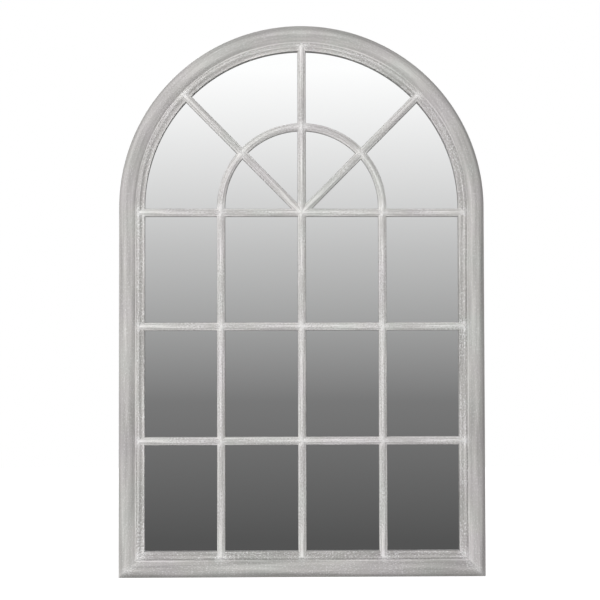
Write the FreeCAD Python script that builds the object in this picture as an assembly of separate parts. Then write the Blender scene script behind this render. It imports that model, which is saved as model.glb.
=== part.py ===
import FreeCAD, Part
import math
import os

# Arched window mirror: a mitred and arched wooden frame, an inner sash moulding, a lattice of
# glazing bars with a small fan arch, one sheet of mirror glass and a backing board behind it,
# and two strap hangers with swinging D rings on the back.
# +X is the viewer's right, the mirror faces -Y, +Z is up. The origin is the middle of the
# bottom rail's flat underside, half way through the frame's depth. Millimetres.

# --- overall ---------------------------------------------------------------------------------
overall_width = 762.0
overall_height = 1150.0
frame_depth = 36.0
glass_setback = 18.0           # from the frame's front crown back to the glass
frame_tail = 19.0              # straight tail of the frame's arch below the spring line
sash_tail = 45.0               # straight tail of the sash's arch below the spring line

# --- outer frame's moulding, widths counted inwards from the outer edge ------------------------
flank_width = 7.5
torus_width = 16.5
ovolo_width = 9.0
foot_width = 1.5
flank_drop = 12.0              # crown down to where the plain outer side starts
flank_bulge = 1.1
crease_drop = 2.9              # crown down to the crease between flank and torus
knee_drop = 1.7                # crown down to where torus turns into ovolo
ovolo_bulge = 0.75
foot_drop = 9.5                # crown down to the narrow flat beside the sash
lip_cover = 8.0                # how far the frame's lip laps over the sash's tongue and the glass

# --- sash moulding, heights counted forwards from the glass ------------------------------------
sash_quirk = 0.6               # narrow dark line between the frame's lip and the sash
tongue_height = 4.0
tongue_clearance = 0.6
sash_round_width = 8.5
sash_hollow_width = 3.9
sash_bead_width = 5.0
sash_side_height = 8.0
sash_crest_height = 12.6
sash_valley_height = 9.2
sash_bead_height = 9.9
sash_edge_height = 8.6

# --- glazing bars -------------------------------------------------------------------------------
bar_width = 17.4
bar_edge_inset = 0.9           # how far the bar's side leans in
bar_edge_height = 5.0
bar_shoulder_height = 6.4
bar_rib_width = 11.0
bar_rib_side_height = 9.2
bar_height = 13.0
bar_scribe_step = 0.3          # each later set of bars is this much lower, so it can be scribed
bar_nose_radius = 4.0          # rounded end of a bar on the sash
bar_end_setback = 5.5          # sash's outer edge to the ends of the bars
halving_height = 4.0           # back part of an upright that is notched for a cross bar
panes_across = 4
pane_rows = 3                  # rows of panes below the transom
transom_drop = 11.0            # spring line down to the transom's centre line
spoke_angle = 45.0

# --- glass and back -----------------------------------------------------------------------------
glass_thickness = 4.0
glass_clearance = 1.0
board_thickness = 3.0
board_clearance = 0.7
point_length = 15.0            # flat steel framer's points that hold the board in
point_width = 6.0
point_thickness = 0.6
point_bite = 6.0               # how far a point is driven into the wood
points_per_stile = 4
points_per_rail = 3
points_per_segment = 2

# --- rounds ---------------------------------------------------------------------------------------
flats_per_round = 2            # a round stretch of a section is built from this many narrow flats
flats_on_torus = 4
flats_on_rib = 3

# --- joints of the frame ------------------------------------------------------------------------
arch_segments = 3
tenon_length = 40.0            # loose tenon across each joint of the arch
tenon_width = 14.0
tenon_thickness = 8.0
tenon_inset = 13.0             # outer edge of the frame to the tenon's middle
tenon_depth = 22.0             # crown back to the tenon's middle
glue_gap = 1.0                 # room at each end of a tenon or spline
spline_length = 22.0           # loose tongue across each mitre: along the joint, across it, thick
spline_width = 16.0
spline_thickness = 4.0
spline_inset = 15.5
spline_depth = 27.0

# --- straps, rings, screws and bumpers ------------------------------------------------------------
strap_screw_radius = 1.6
strap_screw_length = 12.0
strap_screw_head_radius = 3.2
strap_screw_head_height = 1.6
strap_hole_clearance = 0.3
screw_sides = 12               # round pins and pads are built with this many flats
bumper_sides = 16
strap_width = 14.0
strap_thickness = 1.2
strap_clip = 3.0               # corners cut off the strap's foot
strap_side_gap = 0.3           # strap's edge to the ring's leg
ring_wire_radius = 1.5
ring_wire_sides = 8            # the bent part of the wire is built with this many flats
ring_bar_overhang = 0.1        # straight end of the ring's bar on each side of the eye
ring_bend_steps = 2            # straight steps that the bends and the bow are built with
ring_bow_steps = 12
ring_leg = 7.0                 # eye's axis down to where the ring's bow begins
ring_running_clearance = 0.08
ring_rest_gap = 0.45           # hanging ring to the strap's plate
ring_to_screw_gap = 2.0
strap_screw_pitch = 13.0
strap_end_margin = 6.0
hanger_below_joint = 50.0      # stile's joint with the arch down to the ring's hinge
bumper_radius = 7.0
bumper_thickness = 6.0
bumper_height = 30.0

# --- worked out from the sizes above ------------------------------------------------------------
X = FreeCAD.Vector(1, 0, 0)
Y = FreeCAD.Vector(0, 1, 0)
Z = FreeCAD.Vector(0, 0, 1)
FRONTWARD = -Y

arch_radius = overall_width / 2
spring_z = overall_height - arch_radius
arch_centre = FreeCAD.Vector(0, 0, spring_z)
crown_y = -frame_depth / 2
back_y = frame_depth / 2
glass_y = crown_y + glass_setback
glass_back_y = glass_y + glass_thickness
board_back_y = glass_back_y + board_thickness
tongue_y = glass_y - tongue_height

frame_face = flank_width + torus_width + ovolo_width + foot_width
rebate_inset = frame_face - lip_cover
sash_inset = frame_face + sash_quirk
sight_inset = sash_inset + sash_round_width + sash_hollow_width + sash_bead_width
glass_inset = rebate_inset + glass_clearance
board_inset = rebate_inset + board_clearance

bar_end_inset = sash_inset + bar_end_setback
bar_lap = sight_inset - bar_end_inset
bar_reach = arch_radius - bar_end_inset

sight_half_width = arch_radius - sight_inset
upright_spacing = (2 * sight_half_width + bar_width) / panes_across
transom_z = spring_z - transom_drop
row_spacing = (transom_z - sight_inset + bar_width / 2) / pane_rows
fan_radius = upright_spacing

stile_joint_z = spring_z - frame_tail
hanger_x = arch_radius - rebate_inset / 2
hanger_height = stile_joint_z - hanger_below_joint
ring_half_width = strap_width / 2 + strap_side_gap + ring_wire_radius
ring_corner = ring_half_width - strap_width / 2 - ring_bar_overhang
ring_y = back_y + strap_thickness + ring_rest_gap + ring_wire_radius
ring_reach = ring_leg + ring_half_width + ring_wire_radius
eye_radius = ring_wire_radius + ring_running_clearance
right_angle = 90.0


# --- helpers ------------------------------------------------------------------------------------
def vec(x, y, z):
    return FreeCAD.Vector(x, y, z)


def face_along(at, start, steps):
    """Face inside a closed outline. A step is (end,) for a line or (middle, end) for an arc."""
    edges = []
    here = at(*start)
    for step in steps + [(start,)]:
        end = at(*step[-1])
        if len(step) == 1:
            edges.append(Part.LineSegment(here, end).toShape())
        else:
            edges.append(Part.Arc(here, at(*step[0]), end).toShape())
        here = end
    return Part.Face(Part.Wire(edges))


def flats(start, middle, end, count):
    """Line steps along the arc from start through middle to end, which it divides evenly."""
    arc = Part.Arc(*(FreeCAD.Vector(a, b, 0) for a, b in (start, middle, end)))
    points = arc.discretize(count + 1)
    return [((point.x, point.y),) for point in points[1:]]


def bulged(start, end, bulge):
    """Middle point of an arc that stands out from its chord, to the right of start to end."""
    along_a = end[0] - start[0]
    along_b = end[1] - start[1]
    length = math.hypot(along_a, along_b)
    middle_a = (start[0] + end[0]) / 2 + bulge * along_b / length
    middle_b = (start[1] + end[1]) / 2 - bulge * along_a / length
    return (middle_a, middle_b)


def block(x0, x1, y0, y1, z0, z1):
    return Part.makeBox(x1 - x0, y1 - y0, z1 - z0, vec(x0, y0, z0))


def pin(x, z, y0, y1, radius, sides):
    """Straight many-sided pin along Y, its corners on the given radius."""
    corners = []
    for index in range(sides):
        angle = 2 * math.pi * index / sides
        corners.append(vec(x + radius * math.cos(angle), y0, z + radius * math.sin(angle)))
    return Part.Face(Part.makePolygon(corners + corners[:1])).extrude(Y * (y1 - y0))


def faceted_tube(sections):
    """Solid between equal polygons, joined one to the next by flat sides."""
    outlines = [sections[0], sections[-1]]
    for here, there in zip(sections, sections[1:]):
        for index in range(len(here)):
            outlines.append([here[index - 1], here[index], there[index], there[index - 1]])
    faces = [Part.Face(Part.makePolygon(corners + corners[:1])) for corners in outlines]
    solid = Part.makeSolid(Part.makeShell(faces))
    solid.fix(0, 0, 0)
    return solid


def mirrored(shape):
    return shape.mirror(vec(0, 0, 0), X)


def turned(shape, degrees):
    """Turn about the arch's centre, anticlockwise as seen from the front."""
    copy = shape.copy()
    copy.rotate(arch_centre, FRONTWARD, degrees)
    return copy


def only_solid(shape):
    solids = sorted(shape.Solids, key=lambda s: s.Volume)
    return solids[-1]


# --- moulding sections, as (inset from the outer edge, y) ----------------------------------------
def frame_section(at):
    side = (0, crown_y + flank_drop)
    crease = (flank_width, crown_y + crease_drop)
    crown = (flank_width + torus_width / 2, crown_y)
    knee = (flank_width + torus_width, crown_y + knee_drop)
    foot = (frame_face - foot_width, crown_y + foot_drop)
    steps = [(side,)]
    steps += flats(side, bulged(side, crease, flank_bulge), crease, flats_per_round)
    steps += flats(crease, crown, knee, flats_on_torus)
    steps += flats(knee, bulged(knee, foot, ovolo_bulge), foot, flats_per_round)
    steps += [
        ((frame_face, foot[1]),),
        ((frame_face, tongue_y),),
        ((rebate_inset, tongue_y),),
        ((rebate_inset, back_y),),
    ]
    return face_along(at, (0, back_y), steps)


def sash_section(at):
    side = (sash_inset, glass_y - sash_side_height)
    crest = (sash_inset + sash_round_width / 2, glass_y - sash_crest_height)
    valley_a = (sash_inset + sash_round_width, glass_y - sash_valley_height)
    valley_b = (valley_a[0] + sash_hollow_width, glass_y - sash_valley_height)
    bead = (valley_b[0] + sash_bead_width / 2, glass_y - sash_bead_height)
    edge = (sight_inset, glass_y - sash_edge_height)
    tongue_end = rebate_inset + tongue_clearance
    steps = [
        ((tongue_end, tongue_y),),
        ((sash_inset, tongue_y),),
        (side,),
    ]
    steps += flats(side, crest, valley_a, flats_per_round + 1)
    steps.append((valley_b,))
    steps += flats(valley_b, bead, edge, flats_per_round)
    steps.append(((sight_inset, glass_y),))
    return face_along(at, (tongue_end, glass_y), steps)


def bar_section(at, height):
    """Astragal: leaning sides, two narrow shoulders and a round rib, about its own middle."""
    half = bar_width / 2
    edge = half - bar_edge_inset
    rib = bar_rib_width / 2
    edge_y = glass_y - bar_edge_height
    shoulder_y = glass_y - bar_shoulder_height
    rib_y = glass_y - bar_rib_side_height
    steps = [
        ((-edge, edge_y),),
        ((-rib, shoulder_y),),
        ((-rib, rib_y),),
    ]
    steps += flats((-rib, rib_y), (0, glass_y - height), (rib, rib_y), flats_on_rib)
    steps += [
        ((rib, shoulder_y),),
        ((edge, edge_y),),
        ((half, glass_y),),
    ]
    return face_along(at, (-half, glass_y), steps)


# --- runs of moulding ----------------------------------------------------------------------------
def right_upright(section, z0, z1):
    def at(inset, y):
        return vec(arch_radius - inset, y, z0)
    return section(at).extrude(Z * (z1 - z0))


def bottom_run(section):
    def at(inset, y):
        return vec(-arch_radius, y, inset)
    return section(at).extrude(X * overall_width)


def arch_run(section, start_angle, end_angle):
    def at(inset, y):
        return vec(arch_radius - inset, y, spring_z)
    run = section(at).revolve(arch_centre, FRONTWARD, end_angle - start_angle)
    return turned(run, start_angle)


def haunch(section, tail, end_angle):
    """Right end of an arch with its straight tail below the spring line, as one piece."""
    arc = arch_run(section, 0, end_angle)
    straight = right_upright(section, spring_z - tail, spring_z)
    return only_solid(arc.fuse(straight).removeSplitter())


def mitre_block():
    """Everything that belongs to the bottom run at the two 45 degree corners."""
    reach = sight_inset + bar_width
    corners = [
        vec(-arch_radius, -frame_depth, 0),
        vec(arch_radius, -frame_depth, 0),
        vec(arch_radius - reach, -frame_depth, reach),
        vec(reach - arch_radius, -frame_depth, reach),
    ]
    outline = Part.makePolygon(corners + corners[:1])
    return Part.Face(outline).extrude(Y * 2 * frame_depth)


def arched_sheet(inset, y0, y1):
    half = arch_radius - inset

    def at(x, z):
        return vec(x, y0, z)
    sheet = face_along(at, (-half, inset), [
        ((-half, spring_z),),
        ((0, spring_z + half), (half, spring_z)),
        ((half, inset),),
    ])
    return sheet.extrude(Y * (y1 - y0))


# --- frame joints --------------------------------------------------------------------------------
def right_tenon(joint_z, gap):
    """Loose tenon across a level joint on the right, lengthened by the gap for its pocket."""
    half_length = tenon_length / 2 + gap
    middle_x = arch_radius - tenon_inset
    middle_y = crown_y + tenon_depth
    return block(
        middle_x - tenon_width / 2,
        middle_x + tenon_width / 2,
        middle_y - tenon_thickness / 2,
        middle_y + tenon_thickness / 2,
        joint_z - half_length,
        joint_z + half_length,
    )


def arch_tenons(gap):
    at_spring = right_tenon(stile_joint_z, gap)
    in_arch = right_tenon(spring_z, gap)
    step = 180.0 / arch_segments
    joints = range(1, arch_segments)
    return [at_spring, mirrored(at_spring)] + [turned(in_arch, joint * step) for joint in joints]


def corner_spline(gap):
    """Flat loose tongue across the right-hand mitre, lengthened by the gap for its slot."""
    length = spline_length + 2 * gap
    width = spline_width + 2 * gap
    middle = vec(arch_radius - spline_inset, crown_y + spline_depth, spline_inset)
    spline = Part.makeBox(
        length,
        spline_thickness,
        width,
        vec(-length / 2, -spline_thickness / 2, -width / 2),
    )
    spline.rotate(vec(0, 0, 0), Y, right_angle / 2)
    spline.translate(middle)
    return spline


# --- framer's points -------------------------------------------------------------------------------
def framers_points():
    """Flat steel points driven into the rebate wall just behind the board, clear of each joint."""
    wall_x = arch_radius - rebate_inset
    board_y = (board_back_y, board_back_y + point_thickness)
    half = point_width / 2
    points = []
    for index in range(points_per_stile):
        share = (index + 0.5) / points_per_stile
        z = rebate_inset + share * (stile_joint_z - rebate_inset)
        point = block(wall_x + point_bite - point_length, wall_x + point_bite, *board_y, z - half, z + half)
        points += [point, mirrored(point)]
    for index in range(points_per_rail):
        share = (index + 0.5) / points_per_rail
        x = wall_x * (2 * share - 1)
        top_z = rebate_inset - point_bite + point_length
        points.append(block(x - half, x + half, *board_y, top_z - point_length, top_z))
    points_round_arch = arch_segments * points_per_segment
    for index in range(points_round_arch):
        angle = 180.0 * (index + 0.5) / points_round_arch
        low_z = spring_z - half
        point = block(
            wall_x + point_bite - point_length,
            wall_x + point_bite,
            *board_y,
            low_z,
            low_z + point_width,
        )
        points.append(turned(point, angle))
    return points


# --- hanger: strap, ring and screws ----------------------------------------------------------------
def screw_from_back(x, z, seat_y):
    """Flat-headed wood screw driven forwards, its head seated at seat_y."""
    head_y = seat_y + strap_screw_head_height
    shank = pin(x, z, seat_y - strap_screw_length, seat_y, strap_screw_radius, screw_sides)
    head = pin(x, z, seat_y, head_y, strap_screw_head_radius, screw_sides)
    return shank.fuse(head)


def strap_screw_places():
    first = hanger_height - ring_reach - ring_to_screw_gap - strap_screw_head_radius
    return [(hanger_x, first), (hanger_x, first - strap_screw_pitch)]


def hanger_strap():
    """Steel strap rolled into an eye at its top, with clipped foot corners and two screw holes."""
    half = strap_width / 2
    foot_z = strap_screw_places()[-1][1] - strap_end_margin

    def at(x, z):
        return vec(hanger_x + x, back_y, z)
    plate = face_along(at, (-half, hanger_height), [
        ((-half, foot_z + strap_clip),),
        ((strap_clip - half, foot_z),),
        ((half - strap_clip, foot_z),),
        ((half, foot_z + strap_clip),),
        ((half, hanger_height),),
    ]).extrude(Y * strap_thickness)
    eye_start = vec(hanger_x - half, ring_y, hanger_height)
    roll = Part.makeCylinder(eye_radius + strap_thickness, strap_width, eye_start, X)
    bore = Part.makeCylinder(eye_radius, strap_width, eye_start, X)
    hole_radius = strap_screw_radius + strap_hole_clearance
    plate_back_y = back_y + strap_thickness
    holes = [
        pin(x, z, back_y, plate_back_y, hole_radius, screw_sides)
        for x, z in strap_screw_places()
    ]
    return plate.fuse(roll).cut([bore] + holes).removeSplitter()


def hanger_ring():
    """D ring of wire: a round bar in the eye, a bend and a leg on each side, a half-round bow."""
    half = ring_half_width
    bar_half = half - ring_corner

    def at(x, z):
        return vec(hanger_x + x, ring_y, hanger_height + z)

    def wire_corners(centre, outward):
        corners = []
        for index in range(ring_wire_sides):
            angle = 2 * math.pi * (index + 0.5) / ring_wire_sides
            across = outward * math.cos(angle) + Y * math.sin(angle)
            corners.append(centre + across * ring_wire_radius)
        return corners

    def bend(centre_x, centre_z, radius, from_angle, to_angle, count):
        sections = []
        for index in range(count + 1):
            angle = math.radians(from_angle + (to_angle - from_angle) * index / count)
            outward = vec(math.cos(angle), 0, math.sin(angle))
            sections.append(wire_corners(at(centre_x, centre_z) + outward * radius, outward))
        return sections
    sections = bend(bar_half, -ring_corner, ring_corner, 90.0, 0.0, ring_bend_steps)
    sections += bend(0, -ring_leg, half, 0.0, -180.0, ring_bow_steps)
    sections += bend(-bar_half, -ring_corner, ring_corner, -180.0, -270.0, ring_bend_steps)
    bar = Part.makeCylinder(ring_wire_radius, 2 * bar_half, at(-bar_half, 0), X)
    return bar.fuse(faceted_tube(sections))


def strap_screws():
    seat_y = back_y + strap_thickness
    right = [screw_from_back(x, z, seat_y) for x, z in strap_screw_places()]
    return right + [mirrored(screw) for screw in right]


def wall_bumper():
    """Rubber pad, glued to the back of the stile."""
    return pin(hanger_x, bumper_height, back_y, back_y + bumper_thickness, bumper_radius, bumper_sides)


# --- glazing bars ----------------------------------------------------------------------------------
def straight_bar(start, end, height, nose_at_start, nose_at_end):
    """Bar from start to end in the plane of the glass; a nosed end is rounded over the sash."""
    run = end - start
    length = run.Length
    along = run / length
    across = along.cross(Y)

    def section_at(w, y):
        return start + across * w + Y * y
    blank = bar_section(section_at, height).extrude(run)

    def side_at(s, h):
        return start + along * s - across * bar_width + Y * (glass_y - h)
    nose = bar_nose_radius
    slack = nose * (1 - math.sqrt(0.5))
    steps = []
    if nose_at_start:
        steps.append(((0, height - nose),))
        steps.append(((slack, height - slack), (nose, height)))
    else:
        steps.append(((0, height),))
    if nose_at_end:
        steps.append(((length - nose, height),))
        steps.append(((length - slack, height - slack), (length, height - nose)))
    else:
        steps.append(((length, height),))
    steps.append(((length, 0),))
    side = face_along(side_at, (0, 0), steps).extrude(across * 2 * bar_width)
    blank = blank.common(side)
    if nose_at_start:
        blank = blank.cut(lap_block(start, along, across, 0, bar_lap))
    if nose_at_end:
        blank = blank.cut(lap_block(start, along, across, length - bar_lap, length))
    return only_solid(blank)


def lap_block(start, along, across, s0, s1):
    """Back part of a bar's end, which is cut away where the sash's tongue passes behind it."""
    def at(s, w):
        return start + along * s + across * w + Y * tongue_y
    return face_along(at, (s0, -bar_width), [
        ((s1, -bar_width),),
        ((s1, bar_width),),
        ((s0, bar_width),),
    ]).extrude(Y * (tongue_height + glass_thickness))


def polar(radius, degrees):
    angle = math.radians(degrees)
    return arch_centre + vec(radius * math.cos(angle), 0, radius * math.sin(angle))


def back_half(bar):
    """Part of a cross bar that passes behind an upright."""
    reach = overall_height
    return bar.common(block(-reach, reach, glass_y - halving_height, glass_y, -reach, 2 * reach))


def fan_segment(start_angle, end_angle, height):
    def at(w, y):
        return vec(fan_radius + w, y, spring_z)
    run = bar_section(at, height).revolve(arch_centre, FRONTWARD, end_angle - start_angle)
    return turned(run, start_angle)


# --- build -----------------------------------------------------------------------------------------
def build_frame():
    corner = mitre_block()
    step = 180.0 / arch_segments
    stile = right_upright(frame_section, 0, stile_joint_z).cut(corner)
    rail = bottom_run(frame_section).common(corner)
    pieces = {"bottom_rail": rail, "right_stile": stile, "left_stile": mirrored(stile)}
    side_arch = haunch(frame_section, frame_tail, step)
    pieces["arch_right"] = side_arch
    pieces["arch_left"] = mirrored(side_arch)
    pieces["arch_top"] = arch_run(frame_section, step, 180.0 - step)

    spline_slot = corner_spline(glue_gap)
    holes = [spline_slot, mirrored(spline_slot)] + arch_tenons(glue_gap)
    holes += framers_points()
    screw_tip_y = back_y + strap_thickness - strap_screw_length
    strap_holes = [
        pin(x, z, screw_tip_y, back_y, strap_screw_radius, screw_sides)
        for x, z in strap_screw_places()
    ]
    holes += strap_holes + [mirrored(hole) for hole in strap_holes]
    return {name: piece.cut(holes) for name, piece in pieces.items()}


def build_bars():
    """All glazing bars, uprights first: each later bar is scribed to those before it."""
    tops = {"bar_left": spring_z, "bar_centre": spring_z + bar_reach, "bar_right": spring_z}
    places = {"bar_left": -upright_spacing, "bar_centre": 0.0, "bar_right": upright_spacing}
    uprights = {}
    for name, x in places.items():
        through = name == "bar_centre"
        uprights[name] = straight_bar(
            vec(x, 0, bar_end_inset), vec(x, 0, tops[name]), bar_height, True, through)

    cross_height = bar_height - bar_scribe_step
    levels = {"transom_bar": transom_z}
    for row, name in enumerate(["lower_cross_bar", "upper_cross_bar"], start=1):
        levels[name] = sight_inset - bar_width / 2 + row * row_spacing
    crosses = {
        name: straight_bar(vec(-bar_reach, 0, z), vec(bar_reach, 0, z), cross_height, True, True)
        for name, z in levels.items()
    }
    hub_stops = [uprights["bar_centre"], crosses["transom_bar"]]

    spokes = {}
    for name, angle in (("spoke_right", spoke_angle), ("spoke_left", 180.0 - spoke_angle)):
        blank = straight_bar(arch_centre, polar(bar_reach, angle), cross_height, False, True)
        spokes[name] = only_solid(blank.cut(hub_stops))

    fan_height = cross_height - bar_scribe_step
    fan_stops = [uprights["bar_centre"]] + list(spokes.values())
    fan_cuts = [0.0, spoke_angle, 90.0, 180.0 - spoke_angle, 180.0]
    fan_names = ["fan_arch_right_foot", "fan_arch_right_crown", "fan_arch_left_crown", "fan_arch_left_foot"]
    fans = {
        name: only_solid(fan_segment(start, end, fan_height).cut(fan_stops))
        for name, start, end in zip(fan_names, fan_cuts, fan_cuts[1:])
    }

    halves = [back_half(cross) for cross in crosses.values()]
    uprights = {name: only_solid(bar.cut(halves)) for name, bar in uprights.items()}
    stops = list(uprights.values())
    crosses = {name: only_solid(bar.cut(stops)) for name, bar in crosses.items()}
    return {**uprights, **crosses, **spokes, **fans}


def build_sash(bars):
    """Sash moulding, housed out for the ends of the bars that lap over it."""
    corner = mitre_block()
    joint_angle = (spoke_angle + 90.0) / 2
    joint_z = spring_z - sash_tail
    upright = right_upright(sash_section, 0, joint_z).cut(corner)
    right_haunch = haunch(sash_section, sash_tail, joint_angle)
    pieces = {
        "sash_right": upright,
        "sash_left": mirrored(upright),
        "sash_bottom": bottom_run(sash_section).common(corner),
        "sash_arch_right": right_haunch,
        "sash_arch_left": mirrored(right_haunch),
        "sash_arch_top": arch_run(sash_section, joint_angle, 180.0 - joint_angle),
    }
    return {name: only_solid(piece.cut(bars)) for name, piece in pieces.items()}


def build_back():
    strap = hanger_strap()
    ring = hanger_ring()
    bumper = wall_bumper()
    spline = corner_spline(0.0)
    return {
        "mirror_glass": arched_sheet(glass_inset, glass_y, glass_back_y),
        "backing_board": arched_sheet(board_inset, glass_back_y, board_back_y),
        "framers_points": Part.makeCompound(framers_points()),
        "arch_tenons": Part.makeCompound(arch_tenons(0.0)),
        "corner_splines": Part.makeCompound([spline, mirrored(spline)]),
        "hanger_strap_right": strap,
        "hanger_strap_left": mirrored(strap),
        "hanger_ring_right": ring,
        "hanger_ring_left": mirrored(ring),
        "strap_screws": Part.makeCompound(strap_screws()),
        "wall_bumpers": Part.makeCompound([bumper, mirrored(bumper)]),
    }


def main():
    bars = build_bars()
    sash = build_sash(list(bars.values()))
    nodes = {**build_frame(), **sash, **bars, **build_back()}
    os.makedirs("parts", exist_ok=True)
    for name, shape in nodes.items():
        solids = shape.Solids
        volume = sum(solid.Volume for solid in solids)
        valid = all(solid.isValid() for solid in solids)
        print(f"{name:22} solids {len(solids):3} volume {volume:12.1f} valid {valid}")
        shape.exportStep(f"parts/{name}.step")


main()
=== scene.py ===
# %% [markdown]
# # An arched window mirror
# The real mirror is a round-topped wooden frame with a raised sash moulding inside it, a lattice
# of glazing bars with a small fan over the middle, and one sheet of silvered glass behind them.
# The wood is painted warm grey and dry-brushed with off-white. This lesson sweeps each moulding
# from its cut section, paints it with shader nodes, and sets up the studio round it.

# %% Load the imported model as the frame
import bmesh
import bpy
import math
import numpy as np
from mathutils import Matrix, Vector


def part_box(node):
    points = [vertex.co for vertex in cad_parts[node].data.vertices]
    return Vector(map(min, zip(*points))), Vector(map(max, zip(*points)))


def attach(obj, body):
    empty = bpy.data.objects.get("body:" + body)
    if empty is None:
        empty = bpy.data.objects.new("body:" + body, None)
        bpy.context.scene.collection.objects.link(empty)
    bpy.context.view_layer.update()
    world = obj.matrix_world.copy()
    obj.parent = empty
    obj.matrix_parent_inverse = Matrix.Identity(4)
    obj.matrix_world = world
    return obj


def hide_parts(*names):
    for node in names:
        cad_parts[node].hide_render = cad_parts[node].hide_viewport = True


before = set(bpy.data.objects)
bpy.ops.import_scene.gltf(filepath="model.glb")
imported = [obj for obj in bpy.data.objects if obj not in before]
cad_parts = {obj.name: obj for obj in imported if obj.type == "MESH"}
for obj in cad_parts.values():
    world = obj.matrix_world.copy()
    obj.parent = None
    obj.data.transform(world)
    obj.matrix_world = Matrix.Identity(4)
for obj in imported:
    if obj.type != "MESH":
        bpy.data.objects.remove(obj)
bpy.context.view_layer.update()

# %% [markdown]
# ## Sizes
# Every length here is in metres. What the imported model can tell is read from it, so the painted
# pieces sit exactly where the solid ones do. Widths inside a moulding's section can't be read
# from a box, so they are named once, in millimetres times `mm`.

# %% Read the main sizes
mm = 0.001
X_AXIS = Vector((1, 0, 0))
Y_AXIS = Vector((0, 1, 0))
Z_AXIS = Vector((0, 0, 1))

mirror_height = 1150 * mm       # the model's arch is made of flats, so its box is a hair lower
rail_low, rail_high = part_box("bottom_rail")
radius = rail_high.x
crown_y = rail_low.y
back_y = rail_high.y
glass_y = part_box("mirror_glass")[0].y
spring_z = mirror_height - radius
arch_centre = Vector((0, 0, spring_z))
stile_joint_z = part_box("left_stile")[1].z
sash_joint_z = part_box("sash_left")[1].z
print("half width", round(radius, 4), "spring line", round(spring_z, 4))

# %% [markdown]
# ## Drawing a section
# A moulding's section is a closed outline of straight runs and rounds. Typing many points would
# be slow to change, so a round is given by its start, a point it passes through and its end, and
# the points between come from the circle through those three.

# %% Points along a round
def round_through(start, middle, end, count):
    """Points after start on the circle from start through middle to end."""
    start, middle, end = Vector(start), Vector(middle), Vector(end)
    a = middle - start
    b = end - start
    twice_area = 2 * (a.x * b.y - a.y * b.x)
    offset = Vector((b.y * a.length_squared - a.y * b.length_squared,
                     a.x * b.length_squared - b.x * a.length_squared)) / twice_area
    arm = -offset
    first = arm.angle_signed(middle - start - offset)
    second = (middle - start - offset).angle_signed(b - offset)
    points = []
    for index in range(1, count + 1):
        arm_here = arm.copy()
        arm_here.rotate(Matrix.Rotation(-(first + second) * index / count, 2))
        points.append(tuple(start + offset + arm_here))
    return points


def bulged(start, end, bulge, count):
    """Points after start on a round that stands out by bulge from its chord, towards -Y."""
    chord = Vector(end) - Vector(start)
    side = Vector((chord.y, -chord.x)).normalized()
    middle = (Vector(start) + Vector(end)) / 2 + side * bulge
    return round_through(start, middle, end, count)


# %% [markdown]
# ## The three sections
# The frame has a sloping flank, a broad flat-topped round and a rounded slope down to a narrow
# foot. The sash rises by a flank to a small crest and falls in a cove to a flat rim. A glazing
# bar is an astragal: leaning sides, two narrow shoulders and a round rib. Each is written as
# (across, y): across runs from the outer edge inwards, or from the bar's middle, and smaller y
# is nearer the viewer.

# %% Section of the frame
flank_width = 7.5 * mm
shoulder_width = 7.0 * mm
crown_width = 6.0 * mm
slope_width = 13.4 * mm
foot_width = 2.2 * mm
frame_face = flank_width + shoulder_width + crown_width + slope_width + foot_width
rebate_inset = 26.5 * mm
side_drop = 12.0 * mm           # the model's crown back to each corner of the section
crease_drop = 3.0 * mm
crown_drop = 0.2 * mm
foot_drop = 8.7 * mm
paint_edge = 2.5 * mm           # on the back, the paint fades out over this width
tongue_height = 4.0 * mm
tongue_y = glass_y - tongue_height


def frame_outline():
    side = (0, crown_y + side_drop)
    crease = (flank_width, crown_y + crease_drop)
    crown_start = (crease[0] + shoulder_width, crown_y + crown_drop)
    crown_end = (crown_start[0] + crown_width, crown_y + crown_drop)
    foot = (crown_end[0] + slope_width, crown_y + foot_drop)
    outline = [(rebate_inset, back_y), (paint_edge, back_y), (0, back_y), side]
    outline += bulged(side, crease, 0.3 * mm, 4)
    outline += bulged(crease, crown_start, 0.5 * mm, 7)
    outline += bulged(crown_start, crown_end, 0.2 * mm, 4)
    outline += bulged(crown_end, foot, 1.5 * mm, 12)
    outline += [(frame_face, foot[1]), (frame_face, tongue_y), (rebate_inset, tongue_y)]
    return outline


print("frame section:", len(frame_outline()), "points")

# %% Section of the sash
sash_quirk = 0.2 * mm            # narrow dark line between the frame's foot and the sash
tongue_clearance = 0.6 * mm
sash_inset = frame_face + sash_quirk
sash_flank = 3.8 * mm
sash_crest = 2.5 * mm
sash_fall = 2.5 * mm
sash_cove = 4.9 * mm
sash_rim = 3.2 * mm
sash_side_height = 9.0 * mm      # the glass forward to each corner of the section
sash_crest_height = 11.6 * mm
cove_start_height = 9.6 * mm
cove_end_height = 9.1 * mm
sash_edge_height = 9.2 * mm
sash_lip_height = 5.0 * mm
sight_inset = sash_inset + sash_flank + sash_crest + sash_fall + sash_cove + sash_rim


def sash_outline():
    side = (sash_inset, glass_y - sash_side_height)
    crest_start = (side[0] + sash_flank, glass_y - sash_crest_height)
    crest_end = (crest_start[0] + sash_crest, glass_y - sash_crest_height)
    cove_start = (crest_end[0] + sash_fall, glass_y - cove_start_height)
    cove_end = (cove_start[0] + sash_cove, glass_y - cove_end_height)
    edge = (sight_inset, glass_y - sash_edge_height)
    tongue_end = rebate_inset + tongue_clearance
    outline = [(tongue_end, glass_y), (tongue_end, tongue_y), (sash_inset, tongue_y), side]
    outline += bulged(side, crest_start, 0.15 * mm, 4)
    outline += bulged(crest_start, crest_end, 0.4 * mm, 7)
    outline += bulged(crest_end, cove_start, 0.05 * mm, 3)
    outline += bulged(cove_start, cove_end, -0.55 * mm, 6)
    outline += bulged(cove_end, edge, 0.2 * mm, 4)
    outline += [(sight_inset, glass_y - sash_lip_height), (sight_inset, glass_y)]
    return outline


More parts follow.
